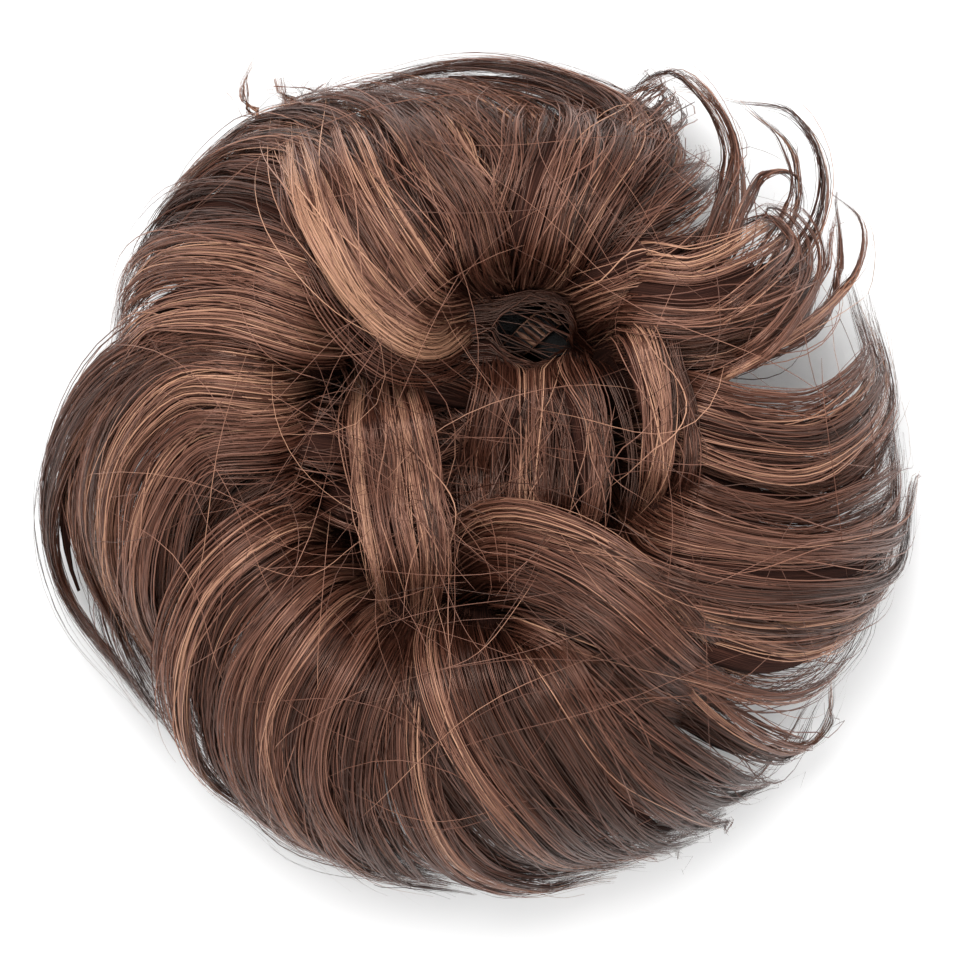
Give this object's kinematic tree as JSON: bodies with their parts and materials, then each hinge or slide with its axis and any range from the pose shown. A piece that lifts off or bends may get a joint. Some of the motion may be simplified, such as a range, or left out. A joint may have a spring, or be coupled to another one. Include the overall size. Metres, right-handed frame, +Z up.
{
  "type": "top knot hairpiece",
  "caption": "Round messy bun of curled brown hair locks on a tape-wound elastic loop, open underneath for the wearer's own knot of hair.",
  "frame": {"origin": "Under the middle of the bun, on the surface that it lies on.", "axes": "+Z up, out of the bun's top side; +X to the side where the loose curls and the gap are; +Y towards the tape's parting."},
  "size_m": [0.1747, 0.1676, 0.0618],
  "materials": {
    "black_elastic": "matte",
    "black_tape": "matte",
    "brown_hair": "satin"
  },
  "bodies": {
    "root": {"elastic_loop": "black_elastic", "weft_tape": "black_tape", "hair_locks": "brown_hair"}
  },
  "joints": []
}
